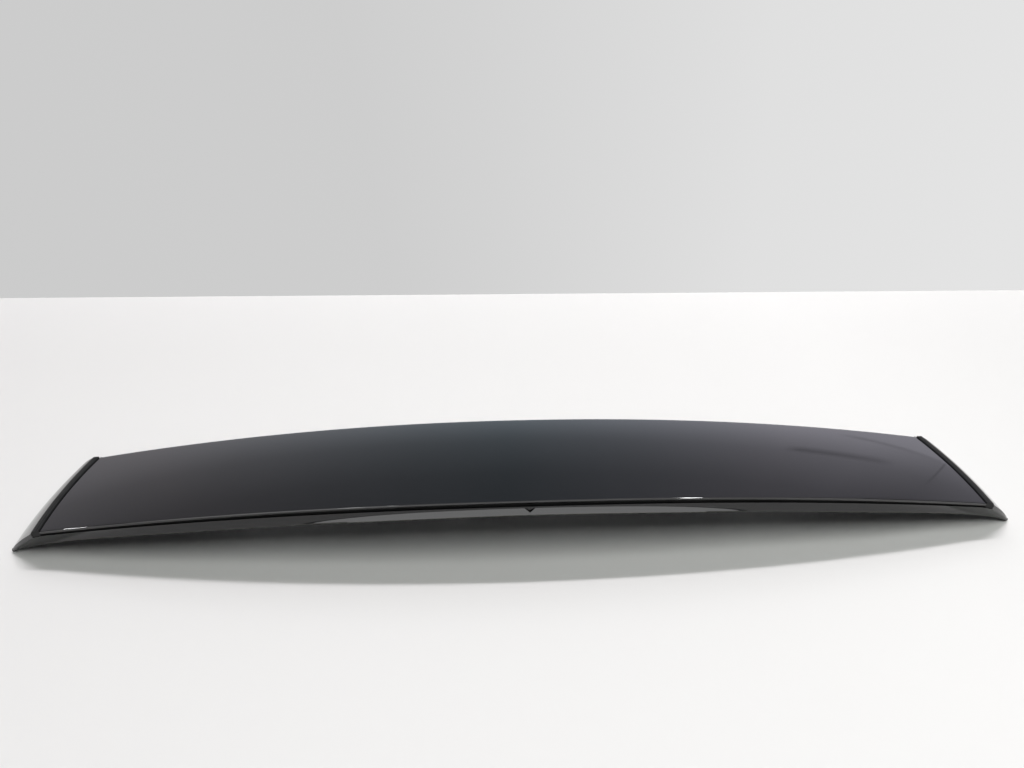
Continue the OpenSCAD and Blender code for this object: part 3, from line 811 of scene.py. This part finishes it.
def metal_material(name, dark, light, rough, grain_scale, stretch):
    """Bare or plated metal with a grain, which can be stretched, and faint spots."""
    mat, graph, bsdf = new_material(name)
    coords = graph.coords()
    stretched = graph.add("ShaderNodeMapping", {"Vector": coords, "Scale": stretch}).outputs["Vector"]
    grain = graph.noise(stretched, scale=grain_scale, detail=4.0, rough=0.6)
    spots = graph.noise(coords, scale=60.0, detail=3.0)
    graph.feed(bsdf, {
        "Base Color": graph.ramp(graph.math("ADD", grain, spots), [(0.7, dark), (1.0, light)]),
        "Normal": graph.bump(grain, strength=0.15, distance=0.0002),
        "Metallic": 1.0,
        "Roughness": rough})
    return mat


def table_material():
    """A pale matt table, painted a little brighter right of its middle: painted light for the uneven light of
    the room.
    """
    mat, graph, bsdf = new_material("table_white")
    fine = graph.noise(graph.coords(), scale=700.0, detail=4.0, rough=0.7)
    graph.feed(bsdf, {
        # Painted light: the base colour rises towards the right to stand in for brighter light there, not for
        # a change in the table's own colour.
        "Base Color": graph.ramp(graph.place()["X"], [(-0.9, 0.765), (0.0, 0.785), (0.5, 0.80), (0.9, 0.76)]),
        "Normal": graph.bump(fine, strength=0.05, distance=0.0005),
        "Roughness": 0.9,
        "Specular IOR Level": 0.1})
    return mat


def backdrop_material():
    """The pale wall of the photograph, laid flat so that nothing stands behind the blade.

    Its glow is painted light, darker on the left and brighter towards the right, and even along every line
    through the point of the floor at FAN_Y, about below the camera.
    """
    mat, graph, _ = new_material("backdrop_pale")
    place = graph.place()
    across = graph.math("DIVIDE", place["X"], graph.math("SUBTRACT", place["Y"], FAN_Y))
    # Painted light: the wall's glow, darker on the left and brighter towards the right.
    tone = graph.ramp(across, [(-0.71, 0.60), (-0.16, 0.615), (0.0, 0.65), (0.36, 0.745), (0.71, 0.775)])
    glow = graph.add("ShaderNodeEmission", {"Color": tone, "Strength": graph.ray("Is Camera Ray")})
    graph.surface(glow.outputs[0])
    return mat


def dimmed(graph, color, value, widths, along, lengths):
    """A colour less the share that it loses in a soft band: by its width, times by its length."""
    loss = graph.math("MULTIPLY", graph.ramp(value, widths), graph.ramp(along, lengths))
    return graph.times(color, graph.math("SUBTRACT", 1.0, loss))


def wall_material():
    """The wall that the panel mirrors, brighter near the table and towards the right."""
    mat, graph, bsdf = new_material("wall_mirrored")
    graph.feed(bsdf, {"Base Color": (0.6, 0.6, 0.6, 1.0), "Roughness": 0.9})
    place = graph.place()
    sideways = graph.ramp(place["X"], [(-0.75, (0.61, 0.59, 0.63)), (0.0, (0.46, 0.54, 0.61)),
                                       (0.6, (0.85, 0.83, 0.94))])
    upward = graph.ramp(place["Z"], [(0.08, 1.08), (0.2, 0.73), (0.4, 0.55)])
    color = graph.times(sideways, upward)

    # Faint shapes of the room, which the panel mirrors near its right end. First a streak.
    sloping = graph.math("MULTIPLY_ADD", place["X"], STREAK_FALL, place["Z"])
    color = dimmed(graph, color, sloping, [(0.194, 0.0), (0.2155, 1.0), (0.2325, 0.0)],
                   place["X"], [(0.60, 0.0), (0.64, 0.38), (0.76, 0.34), (0.83, 0.26), (0.88, 0.0)])
    # A darker field, and a line along its lower edge.
    rising = graph.math("MULTIPLY_ADD", place["X"], -FIELD_RISE, place["Z"])
    color = dimmed(graph, color, rising, [(0.0248, 0.0), (0.030, 1.0)],
                   place["X"], [(0.78, 0.0), (0.98, 0.24)])
    color = dimmed(graph, color, rising, [(0.0188, 0.0), (0.0248, 1.0), (0.0308, 0.0)],
                   place["X"], [(0.70, 0.0), (0.76, 0.26), (0.98, 0.26), (0.99, 0.0)])
    # A nearly upright line, from the right end of that edge.
    upright = graph.math("MULTIPLY_ADD", place["Z"], UPRIGHT_LEAN, place["X"])
    color = dimmed(graph, color, upright, [(1.0026, 0.0), (1.0076, 1.0), (1.0126, 0.0)],
                   place["Z"], [(0.112, 0.0), (0.118, 0.35), (0.19, 0.30), (0.24, 0.0)])

    shine = graph.add("ShaderNodeEmission", {"Color": color, "Strength": 1.20}).outputs[0]
    mix = graph.add("ShaderNodeMixShader", {0: graph.ray("Is Glossy Ray"), 1: bsdf.outputs[0], 2: shine})
    graph.surface(mix.outputs[0])
    return mat


paint = paint_material("paint_grey_metallic", dark=(0.0024, 0.0024, 0.0027), light=(0.0062, 0.0061, 0.0070))
rubber = rubber_material("rubber_dusty", dark=0.004, light=0.012, shine=0.25)
# The rear strip is the same rubber as the side strips. This darker, duller copy of it is painted shade for
# the recess under the rear lip.
rubber_rear_shaded = rubber_material("rubber_rear_shaded_copy", dark=0.0015, light=0.0045, shine=0.04)
zinc = metal_material("zinc_plated", dark=(0.42, 0.43, 0.44), light=(0.62, 0.63, 0.64), rough=0.42,
                      grain_scale=300.0, stretch=(0.15, 3.0, 3.0))
steel = metal_material("steel_dark", dark=(0.30, 0.30, 0.31), light=(0.48, 0.48, 0.50), rough=0.36,
                       grain_scale=500.0, stretch=(1.0, 1.0, 1.0))

build_upper(paint)
build_lower(paint)
build_tips(paint)
build_blocks(paint)
build_seal_rear(rubber_rear_shaded)
build_seal_sides(rubber)

# The CAD's own plates, buffers, nuts, pins and screws keep their shapes.
CAD_LOOKS = {"mounting_plate": zinc, "stop_buffer": rubber, "press_nut": steel, "locating_pin": steel,
             "plate_screw": steel}
for node_name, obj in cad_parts.items():
    for start, look in CAD_LOOKS.items():
        if node_name.startswith(start):
            for slot in obj.material_slots:
                slot.material = look


# Stage: a table and the backdrop behind it, which meet at the photograph's edge between the two, and a
# standing wall on that edge, which the panel mirrors and the camera doesn't see.
def quad(name, corners, material):
    mesh = new_mesh(name, np.array(corners), [(0, 1, 2, 3)])
    mesh.materials.append(material)
    obj = new_object(name, mesh)
    return obj


def build_stage():
    left, right = (-STAGE_X, EDGE_LEFT_Y), (STAGE_X, EDGE_RIGHT_Y)
    quad("table", [(-STAGE_X, TABLE_FRONT_Y, FLOOR_Z), (STAGE_X, TABLE_FRONT_Y, FLOOR_Z),
                   (*right, FLOOR_Z), (*left, FLOOR_Z)], table_material())
    quad("backdrop", [(*left, FLOOR_Z), (*right, FLOOR_Z),
                      (STAGE_X, BACKDROP_FAR_Y, FLOOR_Z), (-STAGE_X, BACKDROP_FAR_Y, FLOOR_Z)],
         backdrop_material())
    wall = quad("wall", [(*left, WALL_LOW), (*right, WALL_LOW), (*right, WALL_HIGH), (*left, WALL_HIGH)],
                wall_material())
    wall.visible_shadow = False
    wall.visible_camera = False


def stand(obj, axes, at):
    """Puts an object at a point, with its own three axes along the given directions."""
    matrix = Matrix(np.array(axes).T.tolist()).to_4x4()
    matrix.translation = at
    obj.matrix_world = matrix


def build_camera():
    """The camera, fitted to the photograph's outlines: 27.4 mm on a 36 mm wide frame."""
    forward = np.array([math.sin(YAW) * math.cos(PITCH), math.cos(YAW) * math.cos(PITCH), -math.sin(PITCH)])
    level = unit(np.cross(forward, [0, 0, 1]))
    upright = np.cross(level, forward)
    right = math.cos(ROLL) * level + math.sin(ROLL) * upright
    up = -math.sin(ROLL) * level + math.cos(ROLL) * upright
    lens = bpy.data.cameras.new("camera")
    lens.sensor_width = SENSOR_W
    lens.lens = FOCAL_PX / PHOTO_W_PX * SENSOR_W
    lens.clip_start = 0.01
    camera = new_object("camera", lens)
    stand(camera, [right, up, -forward], CAMERA_AT)
    bpy.context.scene.camera = camera


def area_light(name, at, target, size, power, color=(1, 1, 1), diffuse=True, glossy=True):
    """A rectangle of light that faces a target. It can leave out matt things, or reflections."""
    data = bpy.data.lights.new(name, "AREA")
    data.shape = "RECTANGLE"
    data.size, data.size_y = size
    data.energy = power
    data.color = color
    obj = new_object(name, data)
    back = unit(np.array(at, float) - np.array(target, float))
    side = unit(np.cross([0, 1, 0], back))
    stand(obj, [side, np.cross(back, side), back], at)
    obj.visible_camera = False
    obj.visible_diffuse = diffuse
    obj.visible_glossy = glossy


def build_lights():
    """A lamp and a ceiling that light the scene, and a room and tubes that only show in reflections."""
    area_light("lamp_behind", at=(0.4, 4.25, 11.0), target=(0, 0, 0), size=(9.0, 0.55), power=825.0,
               color=(1.02, 0.98, 1.0), glossy=False)
    area_light("ceiling_front", at=(1.1, -1.0, 2.5), target=(1.1, -1.0, 0), size=(3.6, 1.8), power=49.0,
               color=(0.98, 1.0, 0.955), glossy=False)
    area_light("ceiling_behind", at=(-0.3, 1.7, 2.6), target=(0, 0, 0), size=(3.0, 1.4), power=22.0)
    area_light("room_front", at=(0, -3.0, 1.5), target=(0, 0, 0.05), size=(14.0, 2.6), power=327.0,
               diffuse=False)
    area_light("ceiling_mirrored", at=(0, -0.8, 2.5), target=(0, -0.8, 0), size=(5.0, 2.7), power=92.0,
               diffuse=False)
    # Ceiling tubes that show as short glints in the rear lip: place, width and power.
    tubes = [(1.14, -0.50, 0.12, 50.0), (-0.87, -0.50, 0.13, 4.2), (-0.62, -0.50, 0.03, 1.4),
             (-3.05, -0.40, 0.07, 40.0)]
    for k, (x, y, width, power) in enumerate(tubes):
        area_light("tube_%d" % k, at=(x, y, TUBE_Z), target=(x, y, 0), size=(width, TUBE_L), power=power,
                   diffuse=False)


def build_world():
    """Dim where it lights things, brighter in reflections and brightest where the camera sees it."""
    world = bpy.data.worlds.new("world")
    bpy.context.scene.world = world
    sky = Graph(world)
    strength = sky.math("MULTIPLY_ADD", sky.ray("Is Glossy Ray"), SKY_MIRRORED - SKY_LIGHT, SKY_LIGHT)
    strength = sky.math("MULTIPLY_ADD", sky.ray("Is Camera Ray"), SKY_SEEN - SKY_LIGHT, strength)
    sky.feed(sky.nodes["Background"], {"Color": (0.97, 0.98, 1.0, 1.0), "Strength": strength})


build_stage()
build_camera()
build_lights()
build_world()
bpy.context.scene.view_settings.view_transform = "Standard"
